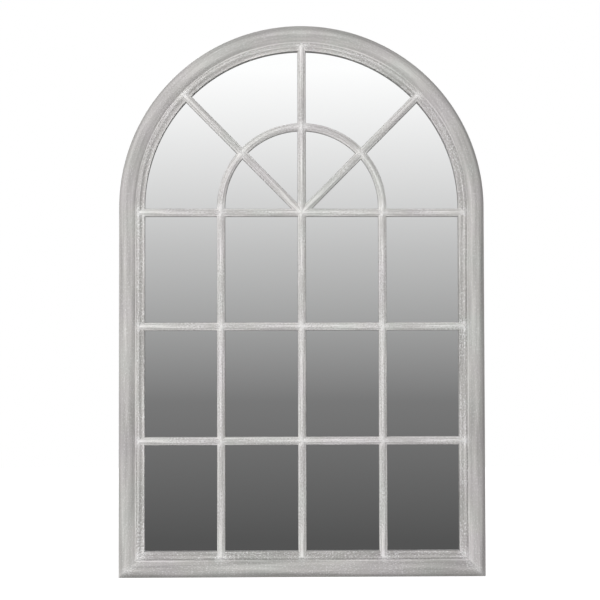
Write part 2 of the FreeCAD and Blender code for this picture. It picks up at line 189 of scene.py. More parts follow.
print("sash section:", len(sash_outline()), "points, sight inset", round(sight_inset, 4))

# %% Section of a glazing bar
bar_width = 17.4 * mm
bar_height = 12.3 * mm
scribe_step = 0.3 * mm           # each later set of bars is this much lower
cross_height = bar_height - scribe_step
fan_height = cross_height - scribe_step
rib_width = 8.2 * mm
bar_lean = 0.8 * mm              # how far a bar's side leans in
rim_drop = 4.8 * mm              # the rib's top back to each corner of the section
shoulder_drop = 2.2 * mm
rib_drop = 1.9 * mm
shoulder_gap = 0.3 * mm
shoulder_bulge = 0.4 * mm


def bar_outline(height):
    half = bar_width / 2
    edge = half - bar_lean
    rib = rib_width / 2
    top_y = glass_y - height
    rim_y = top_y + rim_drop
    shoulder = (rib + shoulder_gap, top_y + shoulder_drop)
    outline = [(-half, glass_y), (-edge, rim_y)]
    outline += bulged((-edge, rim_y), (-shoulder[0], shoulder[1]), shoulder_bulge, 4)
    outline += [(-rib, top_y + rib_drop)]
    outline += round_through((-rib, top_y + rib_drop), (0, top_y), (rib, top_y + rib_drop), 10)
    outline += [shoulder]
    outline += bulged(shoulder, (edge, rim_y), shoulder_bulge, 4)
    outline += [(half, glass_y)]
    return outline


print("bar section:", len(bar_outline(bar_height)), "points")

# %% [markdown]
# ## What the paint needs to know
# Rubbed-back paint is white on the crests, and dirtied and darkened with painted shade in the
# grooves. The shader can't see which is which, so each point of a section carries its relief: how
# far it stands out from the middle of the points a little way before and after it. Points close
# to the glass also carry a mark for grime and painted shade, as dirt gathers and shade falls where
# wood meets glass, and points on the back carry bare wood. The frame's narrow foot is rubbed
# nearly white, so its relief is given.

# %% Measure relief, grime and bare wood for a section
relief_reach = 1.8 * mm
relief_full = 0.7 * mm
rounding_room = 0.01 * mm
rubbed_from = frame_face - foot_width - rounding_room
rubbed_to = frame_face + rounding_room
rubbed_relief = 4.0
rubbed_height = 1 * mm           # a rubbed point lies this far in front of the tongue
# The painted shade and grime beside the glass fade out over this distance
grime_and_shade_reach = 5 * mm
bare_depth = 4 * mm              # wood this far behind the glass's face is bare
bare_inset = 1 * mm


def walk(outline, start, distance):
    """Point reached by going distance along the closed outline from its point number start."""
    step = 1 if distance > 0 else -1
    left = abs(distance)
    here = Vector(outline[start])
    index = start
    while True:
        index = (index + step) % len(outline)
        there = Vector(outline[index])
        gap = (there - here).length
        if gap >= left:
            return here.lerp(there, left / gap)
        left -= gap
        here = there


def section_marks(outline):
    """One (girth, relief, grime, bare) for each point of the outline."""
    marks = []
    girth = 0.0
    for index, point in enumerate(outline):
        point = Vector(point)
        before = walk(outline, index, -relief_reach)
        after = walk(outline, index, relief_reach)
        outward = Vector((after - before).yx)
        outward.y = -outward.y
        relief = (point - (before + after) / 2).dot(outward.normalized()) / relief_full
        # Painted shade with some grime: 1 at the glass, fading out further forward
        grime_and_shade = max(0.0, 1 - (glass_y - point.y) / grime_and_shade_reach)
        bare = 1.0 if point.y > glass_y + bare_depth and point.x > bare_inset else 0.0
        relief = max(-1.0, min(1.0, relief))
        if rubbed_from < point.x < rubbed_to and point.y < tongue_y - rubbed_height:
            relief = rubbed_relief
        marks.append((girth, relief, min(grime_and_shade, 1.0), bare))
        girth += (Vector(outline[(index + 1) % len(outline)]) - point).length
    return marks


for title, outline in (("frame", frame_outline()), ("bar", bar_outline(bar_height))):
    print(title, "relief:", [round(mark[1], 1) for mark in section_marks(outline)])

# %% [markdown]
# ## Sweeping a section
# A moulding is one section pushed along a path. Curves with a bevel object would do it, but then
# the marks above would be lost. `bmesh.ops.spin` pushes a face along a line or round an axis in
# even steps and copies the marks to every step, so one helper makes straight and arched runs.

# %% Start a piece from its section
MARKS = ("girth", "relief", "grime_and_shade", "bare")
arch_step = 1.5                  # degrees between two rings of points on an arch


def section_face(outline, origin, across):
    """New bmesh with one face: the outline drawn from origin, its first axis along across."""
    bm = bmesh.new()
    layers = [bm.verts.layers.float.new(name) for name in MARKS]
    for (w, y), marks in zip(outline, section_marks(outline)):
        vert = bm.verts.new(origin + across * w + Y_AXIS * y)
        for layer, mark in zip(layers, marks):
            vert[layer] = mark
    bm.faces.new(bm.verts)
    return bm


def end_geometry(bm):
    """The section's face with its edges and points, ready to be swept."""
    face = bm.faces[:][0]
    return [face] + list(face.edges) + list(face.verts)


def sweep(bm, geometry, steps, run=(0, 0, 0), about=(0, 0, 0), axis=(0, 0, 1), degrees=0.0,
          merge=False):
    """Carry geometry on in equal steps, each by run or round an axis; returns the last copy."""
    made = bmesh.ops.spin(bm, geom=geometry, cent=about, axis=axis, dvec=run,
                          angle=math.radians(degrees), steps=steps, use_merge=merge,
                          use_duplicate=False)
    return made["geom_last"]


def push(bm, geometry, run, spacing):
    """Push the end face along run, with a ring of points about every spacing."""
    steps = max(1, round(run.length / spacing))
    return sweep(bm, geometry, steps, run=run / steps)


def turn(bm, geometry, degrees):
    """Push the end face round the arch's centre, anticlockwise as seen from the front."""
    steps = max(1, round(abs(degrees) / arch_step))
    return sweep(bm, geometry, steps, about=arch_centre, axis=-Y_AXIS, degrees=degrees)


# %% [markdown]
# ## Cutting and closing
# Mitres are cut with `bisect_plane`, which throws away one side of a plane, and the open end is
# closed with `holes_fill`. Normals are recalculated last, because a spin can leave a shell
# inside out.

# %% Cut at a plane, and finish a piece
seam_reach = 0.9 * mm
weld_reach = 1e-7                # points closer than this count as one
crease_degrees = 32              # a sharper edge than this isn't shaded smooth


def cut(bm, point, normal, keep):
    """Cut at the plane; keep is 'front', 'back' or 'both' as seen along the normal."""
    everything = bm.verts[:] + bm.edges[:] + bm.faces[:]
    bmesh.ops.bisect_plane(bm, geom=everything, dist=weld_reach, plane_co=point,
                           plane_no=normal, clear_outer=keep == "back",
                           clear_inner=keep == "front")
    open_edges = [edge for edge in bm.edges if len(edge.link_faces) == 1]
    if open_edges:
        bmesh.ops.holes_fill(bm, edges=open_edges, sides=0)


def seam_ring(bm, point, inwards):
    """Ring of points just inside a joint, so that the paint can draw the joint as a fine line."""
    cut(bm, point + inwards * seam_reach, inwards, "both")


def make_object(bm, name):
    """Put the bmesh into a new object of the scene."""
    mesh = bpy.data.meshes.new(name)
    bm.to_mesh(mesh)
    bm.free()
    made = bpy.data.objects.new(name, mesh)
    bpy.context.scene.collection.objects.link(made)
    return made


def finish_piece(bm, name, node, body, along=None):
    """Make a piece of the bmesh, with smooth shading, its marks and a UV map along its length."""
    bmesh.ops.recalc_face_normals(bm, faces=bm.faces[:])
    if along:
        girth = bm.verts.layers.float["girth"]
        uv = bm.loops.layers.uv.new("moulding")
        for face in bm.faces:
            for loop in face.loops:
                loop[uv].uv = (along(loop.vert.co), loop.vert[girth])
    piece = make_object(bm, name)
    piece.data.shade_smooth()
    piece.data.set_sharp_from_angle(angle=math.radians(crease_degrees))
    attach(piece, body)
    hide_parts(node)
    return piece


def painted(bm, name, along):
    """Finish a piece of painted woodwork that stands in for the model's piece of that name."""
    return finish_piece(bm, f"painted_{name}", name, "frame", along)


def up_the_piece(co):
    return co.z


def along_the_piece(co):
    return co.x


def round_the_arch(co):
    """Length along the arch, which carries on evenly from the upright below it."""
    if co.z < spring_z:
        return co.z
    angle = math.atan2(co.z - spring_z, abs(co.x))
    return spring_z + radius * angle


# %% [markdown]
# ## The outer frame
# The bottom rail and both stiles are swept as far as the outer corners, then cut there at 45
# degrees. The arch is three pieces: two haunches that start with a short straight tail below the
# spring line, and a crown between them. The sash inside is made the same way from its own
# section.

# %% Sweep the frame and the sash
ring_spacing = 8 * mm


def corner(side):
    """Outer lower corner; side is -1 for the left one and 1 for the right one."""
    return Vector((side * radius, 0, 0))


def mitre(side):
    """Square to that corner's mitre, pointing up and outwards, away from the rail."""
    return Vector((side, 0, 1)).normalized()


def joint_normal(degrees, side):
    """Square to a joint of the arch on one side, pointing down into the haunch."""
    angle = math.radians(degrees)
    return Vector((side * math.sin(angle), 0, -math.cos(angle)))


def stile(outline, name, joint_z, side):
    bm = section_face(outline, corner(side), X_AXIS * -side)
    push(bm, end_geometry(bm), Z_AXIS * joint_z, ring_spacing)
    cut(bm, corner(side), mitre(side), "front")
    seam_ring(bm, corner(side), mitre(side))
    seam_ring(bm, Z_AXIS * joint_z, -Z_AXIS)
    return painted(bm, name, up_the_piece)


def rail(outline, name):
    bm = section_face(outline, corner(-1), Z_AXIS)
    push(bm, end_geometry(bm), X_AXIS * 2 * radius, ring_spacing)
    for side in (1, -1):
        cut(bm, corner(side), mitre(side), "back")
    for side in (1, -1):
        seam_ring(bm, corner(side), -mitre(side))
    return painted(bm, name, along_the_piece)


def start_at(bm, degrees):
    """Turn a section that stands on the right of the arch's centre round to an angle."""
    bmesh.ops.rotate(bm, verts=bm.verts[:], cent=arch_centre,
                     matrix=Matrix.Rotation(math.radians(degrees), 3, -Y_AXIS))


def haunch(outline, name, tail_z, degrees, side):
    start = Vector((side * radius, 0, tail_z))
    bm = section_face(outline, start, X_AXIS * -side)
    last = push(bm, end_geometry(bm), Z_AXIS * (spring_z - tail_z), ring_spacing)
    turn(bm, last, side * degrees)
    seam_ring(bm, Z_AXIS * tail_z, Z_AXIS)
    seam_ring(bm, arch_centre, joint_normal(degrees, side))
    return painted(bm, name, round_the_arch)


def crown(outline, name, degrees):
    """Middle piece of the arch, from degrees on the right to the same angle on the left."""
    bm = section_face(outline, Vector((radius, 0, spring_z)), -X_AXIS)
    start_at(bm, degrees)
    turn(bm, end_geometry(bm), 180 - 2 * degrees)
    for side in (-1, 1):
        seam_ring(bm, arch_centre, -joint_normal(degrees, side))
    return painted(bm, name, round_the_arch)


frame_joint_degrees = 60.0
sash_joint_degrees = 67.5


def round_topped(outline, joint_z, joint_degrees, names):
    """The six pieces of the frame or the sash, named in the order in which they are made."""
    rail_name, left, right, arch_left, arch_right, arch_top = names
    return [
        rail(outline, rail_name),
        stile(outline, left, joint_z, -1),
        stile(outline, right, joint_z, 1),
        haunch(outline, arch_left, joint_z, joint_degrees, -1),
        haunch(outline, arch_right, joint_z, joint_degrees, 1),
        crown(outline, arch_top, joint_degrees),
    ]


frame_wood = round_topped(frame_outline(), stile_joint_z, frame_joint_degrees, (
    "bottom_rail", "left_stile", "right_stile", "arch_left", "arch_right", "arch_top"))
sash_wood = round_topped(sash_outline(), sash_joint_z, sash_joint_degrees, (
    "sash_bottom", "sash_left", "sash_right", "sash_arch_left", "sash_arch_right",
    "sash_arch_top"))
print("frame and sash pieces:", len(frame_wood) + len(sash_wood))

# %% [markdown]
# ## The glazing bars
# Three uprights, three cross bars, two spokes and a half ring of four short arcs. On the real
# mirror the bars run over the sash and end in a rounded nose on it. The nose is made by adding a
# few rings near the end and pressing the rib down along a quarter circle. The spokes don't start
# at the arch's centre but on the transom, a little below it.

# %% Where the bars go
def middle_z(name):
    low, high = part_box(name)
    return (low.z + high.z) / 2


lattice_inset = 52.5 * mm        # the outermost panes end here
panes_across = 4
upright_spacing = (2 * (radius - lattice_inset) + bar_width) / panes_across
transom_z = middle_z("transom_bar")
lower_z = middle_z("lower_cross_bar")
upper_z = middle_z("upper_cross_bar")
fan_radius = upright_spacing
bar_end_inset = 41.0 * mm
bar_reach = radius - bar_end_inset
bar_ring_spacing = 6 * mm
nose_radius = 4.0 * mm
nose_rings = 5
spoke_degrees = 45.3
hub_drop = 1.2 * mm              # the two spokes meet this far below the transom's middle
hub = Vector((0, 0, transom_z - hub_drop))


def press_nose(bm, end, inwards, height):
    """Round the front of a bar's end over the last few millimetres."""
    for index in range(1, nose_rings + 1):
        share = 1 - math.cos(math.pi / 2 * index / nose_rings)
        cut(bm, end + inwards * nose_radius * share, inwards, "both")
    for vert in bm.verts:
        from_end = (vert.co - end).dot(inwards)
        if from_end < nose_radius:
            squared = nose_radius ** 2 - (nose_radius - from_end) ** 2
            drop = nose_radius - math.sqrt(max(0.0, squared))
            vert.co.y = max(vert.co.y, glass_y - height + drop)


def straight_bar(name, start, end, height, noses):
    run = end - start
    along = run.normalized()
    across = along.cross(Y_AXIS)
    bm = section_face(bar_outline(height), start, across)
    push(bm, end_geometry(bm), run, bar_ring_spacing)
    if "start" in noses:
        press_nose(bm, start, along, height)
    if "end" in noses:
        press_nose(bm, end, -along, height)
    return painted(bm, name, lambda co: (co - start).dot(along))


def fan_arc(name, from_degrees, degrees):
    bm = section_face(bar_outline(fan_height), Vector((fan_radius, 0, spring_z)), X_AXIS)
    start_at(bm, from_degrees)
    turn(bm, end_geometry(bm), degrees)
    return painted(bm, name, lambda co: fan_radius * math.atan2(co.z - spring_z, co.x))


def on_spoke(reach, side):
    """Point of a spoke that lies reach from the arch's centre, which is above the hub."""
    angle = math.radians(spoke_degrees)
    drop = spring_z - hub.z
    run = drop * math.sin(angle) + math.sqrt(reach ** 2 - (drop * math.cos(angle)) ** 2)
    return hub + Vector((side * math.cos(angle), 0, math.sin(angle))) * run


# %% Sweep the bars
def upright_at(x, top_z):
    return Vector((x, 0, bar_end_inset)), Vector((x, 0, top_z))


def cross_at(z):
    return Vector((-bar_reach, 0, z)), Vector((bar_reach, 0, z))


bars = [
    straight_bar("bar_left", *upright_at(-upright_spacing, spring_z), bar_height, ["start"]),
    straight_bar("bar_right", *upright_at(upright_spacing, spring_z), bar_height, ["start"]),
    straight_bar("bar_centre", *upright_at(0, spring_z + bar_reach), bar_height, ["start", "end"]),
    straight_bar("transom_bar", *cross_at(transom_z), cross_height, ["start", "end"]),
    straight_bar("lower_cross_bar", *cross_at(lower_z), cross_height, ["start", "end"]),
    straight_bar("upper_cross_bar", *cross_at(upper_z), cross_height, ["start", "end"]),
    straight_bar("spoke_right", hub, on_spoke(bar_reach, 1), cross_height, ["end"]),
    straight_bar("spoke_left", hub, on_spoke(bar_reach, -1), cross_height, ["end"]),
]
fan_names = ("right_foot", "right_crown", "left_crown", "left_foot")
fan_share = 180 / len(fan_names)
bars += [fan_arc(f"fan_arch_{name}", index * fan_share, fan_share)
         for index, name in enumerate(fan_names)]
print("bars:", len(bars), "spacing", round(upright_spacing, 4))

# %% [markdown]
# ## Where the pieces meet
# Filler and brush strokes pile up where bars cross and at mitres. A list of such spots, worked
# out from the same sizes, gives each point of the woodwork one more mark: how near it is to a
# joint. NumPy measures all of them at once.

# %% Mark how near each point is to a joint
joint_fade = 16 * mm
mitre_spot_spacing = 6 * mm
levels = [lower_z, upper_z, transom_z]
columns = [-upright_spacing, 0.0, upright_spacing]
joint_spots = [(x, z) for x in columns for z in levels]
joint_spots += [(side * bar_reach, z) for z in levels for side in (-1, 1)]
joint_spots += [(x, bar_end_inset) for x in columns]
joint_spots += [(side * fan_radius, spring_z) for side in (-1, 1)]
for reach in (fan_radius, bar_reach):
    joint_spots.append((0.0, spring_z + reach))
    joint_spots += [(on_spoke(reach, side).x, on_spoke(reach, side).z) for side in (-1, 1)]
for inset in np.arange(0, sight_inset, mitre_spot_spacing):
    joint_spots += [(side * (radius - inset), inset) for side in (-1, 1)]


def flat_places(piece):
    """x and z of each point of a piece."""
    places = np.empty(len(piece.data.vertices) * 3)
    piece.data.vertices.foreach_get("co", places)
    return places.reshape(-1, 3)[:, [0, 2]]


def store_mark(piece, name, values):
    mark = piece.data.attributes.new(name, "FLOAT", "POINT")
    mark.data.foreach_set("value", np.clip(values, 0, 1).astype(np.float32))


def mark_joints(piece):
    offsets = flat_places(piece)[:, None, :] - np.array(joint_spots)[None, :, :]
    store_mark(piece, "near_joint", 1 - np.linalg.norm(offsets, axis=2).min(axis=1) / joint_fade)


def mark_seams(pieces, joint_z, degrees):
    """Mark the points on each joint's plane; a plane is a point and a direction in x and z."""
    planes = [((side * radius, 0), (side, 1)) for side in (-1, 1)]
    planes.append(((0, joint_z), (0, 1)))
    for side in (-1, 1):
        normal = joint_normal(degrees, side)
        planes.append(((0, spring_z), (normal.x, normal.z)))
    for piece in pieces:
        places = flat_places(piece)
        gaps = [abs((places - point) @ (np.array(way) / np.linalg.norm(way)))
                for point, way in planes]
        store_mark(piece, "seam", 1 - np.min(gaps, axis=0) / seam_reach)


for piece in frame_wood + sash_wood + bars:
    mark_joints(piece)
mark_seams(frame_wood, stile_joint_z, frame_joint_degrees)
mark_seams(sash_wood, sash_joint_z, sash_joint_degrees)
print("joint spots:", len(joint_spots))

# %% [markdown]
# ## Shader nodes without the mouse
# A material is a small graph. Helpers keep the graph readable: the first makes a node and plugs
# values or other nodes' outputs into it by name, and each of the others adds one common node.

# %% Node helpers
def add_node(tree, kind, inputs=None, **settings):
    """New node; an input given as a socket is linked, and any other value is set."""
    made = tree.nodes.new(kind)
    for name, value in settings.items():
        setattr(made, name, value)
    for name, value in (inputs or {}).items():
        if isinstance(value, bpy.types.NodeSocket):
            tree.links.new(value, made.inputs[name])
        else:
            made.inputs[name].default_value = value
    return made


def mix_colour(tree, factor, first, second, blend="MIX"):
    """Mix two colours: a mix node's colours are its inputs 6 and 7 and its output 2."""
    mixed = add_node(tree, "ShaderNodeMix", {0: factor, 6: first, 7: second},
                     data_type="RGBA", blend_type=blend)
    return mixed.outputs[2]


def maths(tree, operation, *values):
    made = add_node(tree, "ShaderNodeMath", dict(enumerate(values)), operation=operation)
    return made.outputs[0]


def ramp(tree, value, low, high):
    """0 below low, 1 above high, and an even slope between."""
    made = add_node(tree, "ShaderNodeMapRange", {
        "Value": value, "From Min": low, "From Max": high})
    return made.outputs["Result"]


def colour_steps(tree, value, steps):
    """Colour that passes through steps, each a position from 0 to 1 and a colour."""
    made = add_node(tree, "ShaderNodeValToRGB", {"Fac": value})
    stops = made.color_ramp.elements
    while len(stops) < len(steps):
        stops.new(0.5)
    for stop, (position, colour) in zip(stops, steps):
        stop.position = position
        stop.color = colour
    return made.outputs["Color"]


def noise(tree, vector, scale, detail, rough):
    made = add_node(tree, "ShaderNodeTexNoise", {
        "Vector": vector, "Scale": scale, "Detail": detail, "Roughness": rough})
    return made.outputs["Fac"]


def stretched(tree, vector, scale):
    made = add_node(tree, "ShaderNodeMapping", {"Vector": vector, "Scale": scale})
    return made.outputs["Vector"]


def new_material(name):
    material = bpy.data.materials.new(name)
    material.use_nodes = True
    tree = material.node_tree
    return material, tree, tree.nodes["Principled BSDF"]


def object_place(tree):
    return add_node(tree, "ShaderNodeTexCoord").outputs["Object"]


def raise_bumps(tree, shader, height, strength, depth):
    bump = add_node(tree, "ShaderNodeBump", {
        "Height": height, "Strength": strength, "Distance": depth})
    tree.links.new(bump.outputs["Normal"], shader.inputs["Normal"])


def grey(level, warmth=0.0):
    """Linear colour of an sRGB grey from 0 to 255, a little warmer for a positive warmth."""
    linear = ((level / 255 + 0.055) / 1.055) ** 2.4
    return (linear * (1 + warmth), linear, linear * (1 - warmth), 1.0)


# %% [markdown]
# ## Rubbed-back paint
# The real finish is a warm grey coat, dry-brushed with off-white along each length, dirtied in
# the grooves and rubbed at the crests; the grooves and the wood beside the glass also get painted
# shade. The brush strokes follow the moulding, so they read the UV map, long in u and narrow in v.
# The clouds of faint pink and green don't follow anything, so they read Object coordinates. The
# marks on the mesh say where to add white, and where dirt and painted shade.

# %% Make the paint
bare_wood_light = (0.50, 0.36, 0.21, 1.0)
bare_wood_dark = (0.33, 0.21, 0.11, 1.0)
chip_colour = grey(128, 0.08)
fleck_colour = grey(240)
cloud_colours = [               # faint green, cream and pink
    (0.36, (0.97, 1.0, 0.94, 1)),
    (0.50, (1.0, 0.97, 0.93, 1)),
    (0.64, (1.0, 0.935, 0.955, 1)),
]

# How often each mark repeats in a metre, along the moulding and across it
stroke_scale = (9, 380, 1)
hair_scale = (45, 1100, 1)
band_scale = (5, 90, 1)
fleck_scale = (230, 520, 1)
chip_scale = (170, 420, 1)
wood_scale = (60, 60, 4)


def paint(name, coat, white, dirt_and_shade_colour, white_share, flecked, speck_share, banding):
    """Grey coat with off-white strokes.

    white_share adds strokes, flecked and speck_share add flecks and chips and make them
    stronger, and banding sets how much the tone changes from one broad brush mark to the next.
    """
    material, tree, shader = new_material(name)
    uv = add_node(tree, "ShaderNodeUVMap", uv_map="moulding").outputs["UV"]
    place = object_place(tree)

    def mark(attribute):
        return add_node(tree, "ShaderNodeAttribute", attribute_name=attribute).outputs["Fac"]
    relief, grime_and_shade, bare, near_joint, seam = map(
        mark, ("relief", "grime_and_shade", "bare", "near_joint", "seam"))

    strokes = noise(tree, stretched(tree, uv, stroke_scale), 1.0, 5.0, 0.6)
    hairs = noise(tree, stretched(tree, uv, hair_scale), 1.0, 3.0, 0.6)
    bands = noise(tree, stretched(tree, uv, band_scale), 1.0, 2.0, 0.5)
    flecks = noise(tree, stretched(tree, uv, fleck_scale), 1.0, 2.0, 0.6)
    chips = noise(tree, stretched(tree, uv, chip_scale), 1.3, 2.0, 0.6)
    clouds = noise(tree, place, 9.0, 3.0, 0.5)
    worn = ramp(tree, noise(tree, place, 17.0, 3.0, 0.6), 0.44, 0.62)

    # White strokes, thicker on the crests and where bars meet
    brushed = maths(tree, "ADD", strokes, maths(tree, "MULTIPLY", relief, 0.06))
    brushed = maths(tree, "ADD", brushed, maths(tree, "MULTIPLY", hairs, 0.30))
    brushed = maths(tree, "ADD", brushed, maths(tree, "MULTIPLY", near_joint, 0.12))
    is_white = ramp(tree, brushed, 0.74 - white_share, 0.90 - white_share)

    colour = mix_colour(tree, is_white, coat, white)

    # Faint clouds of colour, and broad brush marks of a darker or lighter tone
    hue = colour_steps(tree, clouds, cloud_colours)
    colour = mix_colour(tree, 0.5, colour, hue, "MULTIPLY")
    shade = add_node(tree, "ShaderNodeMapRange", {
        "Value": bands, "From Min": 0.3, "From Max": 0.7,
        "To Min": 1 - 1.2 * banding, "To Max": 1 + 0.8 * banding})
    toned = add_node(tree, "ShaderNodeVectorMath", {0: colour, "Scale": shade.outputs[0]},
                     operation="SCALE")
    colour = toned.outputs["Vector"]

    # White flecks and grey chips, gathered in worn patches
    lifted = maths(tree, "ADD", flecks, maths(tree, "MULTIPLY", near_joint, 0.13))
    lifted = maths(tree, "ADD", lifted, maths(tree, "MULTIPLY", worn, flecked))
    speckle = ramp(tree, lifted, 0.57, 0.66)
    colour = mix_colour(tree, maths(tree, "MULTIPLY", speckle, speck_share), colour, fleck_colour)

    groove = ramp(tree, maths(tree, "MULTIPLY", relief, -1.0), 0.12, 0.7)
    chipped = maths(tree, "ADD", chips, maths(tree, "MULTIPLY", worn, flecked * 0.8))
    chipped = maths(tree, "ADD", chipped, maths(tree, "MULTIPLY", groove, 0.06))
    chipped = maths(tree, "MULTIPLY", ramp(tree, chipped, 0.59, 0.68), speck_share * 0.7)
    colour = mix_colour(tree, chipped, colour, chip_colour)

    # Dirt and painted shade in the grooves, dark lines in the joints, and painted shade with grime
    # beside the glass
    # Painted shade with some dirt in the grooves, streaked by the brush strokes
    dirt_and_shade = maths(tree, "MULTIPLY", groove, ramp(tree, strokes, 0.30, 0.62))
    cracked = maths(tree, "MULTIPLY", seam, ramp(tree, flecks, 0.35, 0.6))
    dirt_and_shade = maths(tree, "MULTIPLY", maths(tree, "MAXIMUM", dirt_and_shade, cracked), 0.55)
    # Painted shade, with some grime, on the wood beside the glass
    shade_and_grime_by_glass = maths(tree, "MULTIPLY", ramp(tree, grime_and_shade, 0.2, 1.0), 0.7)
    dirt_and_shade = maths(tree, "MAXIMUM", dirt_and_shade, shade_and_grime_by_glass)
    colour = mix_colour(tree, dirt_and_shade, colour, dirt_and_shade_colour)

    # Bare wood on the back, with a ragged edge to the paint
    wood = noise(tree, stretched(tree, place, wood_scale), 4.0, 4.0, 0.6)
    timber = mix_colour(tree, wood, bare_wood_light, bare_wood_dark)
    stray = maths(tree, "MULTIPLY", maths(tree, "SUBTRACT", strokes, 0.5), 0.5)
    ragged = maths(tree, "ADD", bare, stray)
    colour = mix_colour(tree, ramp(tree, ragged, 0.45, 0.55), colour, timber)

    tree.links.new(colour, shader.inputs["Base Color"])
    tree.links.new(ramp(tree, strokes, -0.6, 1.4), shader.inputs["Roughness"])
    shader.inputs["Specular IOR Level"].default_value = 0.35
    height = maths(tree, "ADD", strokes, maths(tree, "MULTIPLY", hairs, 0.5))
    height = maths(tree, "ADD", height, maths(tree, "MULTIPLY", speckle, 0.2))
    raise_bumps(tree, shader, height, 0.30, 0.35 * mm)
    return material


def wear(pieces, material):
    for piece in pieces:
        piece.data.materials.clear()
        piece.data.materials.append(material)


wear(frame_wood, paint(
    "frame_paint", grey(188, 0.012), grey(212, 0.006), grey(172, 0.02),
    white_share=0.0, flecked=0.03, speck_share=0.35, banding=0.21))
wear(sash_wood, paint(
    "sash_paint", grey(186, 0.012), grey(230, 0.006), grey(112, 0.05),
    white_share=0.05, flecked=0.08, speck_share=0.8, banding=0.21))
# Painted shade: the bottom rail and sill get less light, so their paint is made darker
wear(frame_wood[:1], paint(     # the bottom pieces are a little darker than the rest
    "shaded_rail_paint", grey(180, 0.012), grey(206, 0.006), grey(165, 0.02),
    white_share=0.0, flecked=0.05, speck_share=0.45, banding=0.21))
wear(sash_wood[:1], paint(
    "shaded_sill_paint", grey(172, 0.012), grey(220, 0.006), grey(105, 0.05),
    white_share=0.02, flecked=0.08, speck_share=0.8, banding=0.21))
wear(bars, paint(
    "bar_paint", grey(197, 0.008), grey(236, 0.004), grey(110, 0.03),
    white_share=0.10, flecked=0.10, speck_share=0.55, banding=0.15))
print("painted pieces:", len(frame_wood + sash_wood + bars))

# %% [markdown]
# ## Silvered glass
# A mirror is smooth metal behind clear glass. For a camera the front of the sheet can be that
# metal itself: a metallic shader with almost no roughness. A breath of unevenness in the
# roughness keeps it from looking computed.

# %% Make the mirror
def silvered():
    material, tree, shader = new_material("silvered_glass")
    place = object_place(tree)
    haze = noise(tree, place, 3.0, 2.0, 0.5)
    shader.inputs["Base Color"].default_value = (0.96, 0.965, 0.965, 1)
    shader.inputs["Metallic"].default_value = 1.0
    tree.links.new(maths(tree, "MULTIPLY", haze, 0.02), shader.inputs["Roughness"])
    return material


wear([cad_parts["mirror_glass"]], silvered())

# %% [markdown]
# ## The back
# Behind the glass is a sheet of brown hardboard, held by flat steel points pushed into the
# rebate. Bare pine tenons and splines join the frame, and zinc-plated straps carry the rings
# that it hangs from. All of these are the model's own parts, so they keep their shape and only
# get a finish on Object coordinates.

# %% Finishes for the back
def hardboard():
    material, tree, shader = new_material("hardboard")
    place = object_place(tree)
    fibres = noise(tree, stretched(tree, place, (240, 1, 160)), 1.0, 6.0, 0.75)
    patches = noise(tree, place, 7.0, 3.0, 0.6)
    patched = maths(tree, "MULTIPLY", patches, 0.5)
    colour = mix_colour(tree, fibres, (0.085, 0.045, 0.021, 1), (0.31, 0.185, 0.095, 1))
    colour = mix_colour(tree, patched, colour, (0.20, 0.115, 0.055, 1))
    tree.links.new(colour, shader.inputs["Base Color"])
    shader.inputs["Roughness"].default_value = 0.72
    raise_bumps(tree, shader, fibres, 0.3, 0.2 * mm)
    return material


def pine():
    material, tree, shader = new_material("bare_pine")
    place = object_place(tree)
    grain = noise(tree, stretched(tree, place, (300, 300, 12)), 1.0, 4.0, 0.6)
    colour = mix_colour(tree, grain, bare_wood_light, bare_wood_dark)
    tree.links.new(colour, shader.inputs["Base Color"])
    shader.inputs["Roughness"].default_value = 0.65
    return material


def zinc():
    material, tree, shader = new_material("zinc_plate")
    place = object_place(tree)
    bloom = noise(tree, place, 260.0, 4.0, 0.6)
    colour = mix_colour(tree, bloom, (0.50, 0.49, 0.46, 1), (0.70, 0.70, 0.67, 1))
    tree.links.new(colour, shader.inputs["Base Color"])
    shader.inputs["Metallic"].default_value = 1.0
    tree.links.new(ramp(tree, bloom, -0.5, 1.9), shader.inputs["Roughness"])
    return material


def black_rubber():
    material, tree, shader = new_material("black_rubber")
    place = object_place(tree)
    dust = noise(tree, place, 500.0, 3.0, 0.6)
    colour = mix_colour(tree, dust, (0.012, 0.012, 0.012, 1), (0.045, 0.044, 0.042, 1))
    tree.links.new(colour, shader.inputs["Base Color"])
    shader.inputs["Roughness"].default_value = 0.75
    return material


steel = zinc()
rubber = black_rubber()
wear([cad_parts["backing_board"]], hardboard())
wear([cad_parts[name] for name in ("arch_tenons", "corner_splines")], pine())
steel_nodes = ["framers_points", "hanger_strap_left", "hanger_strap_right"]
wear([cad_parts[name] for name in steel_nodes], steel)

# %% [markdown]
# ## D rings
# Each hanger's ring is one bent wire. It is drawn as a small circle that is pushed along the bar
# in the strap's eye, turned at the corners, and turned half round for the bow. Joining the last
# circle to the first closes the wire.

# %% Bend the rings
wire_radius = 1.5 * mm
bend_radius = 1.7 * mm
leg_length = 7.0 * mm
wire_sides = 20
bend_steps = 8
bow_steps = 36
wire_weld = 1e-6                 # the bent wire's two ends lie closer than this


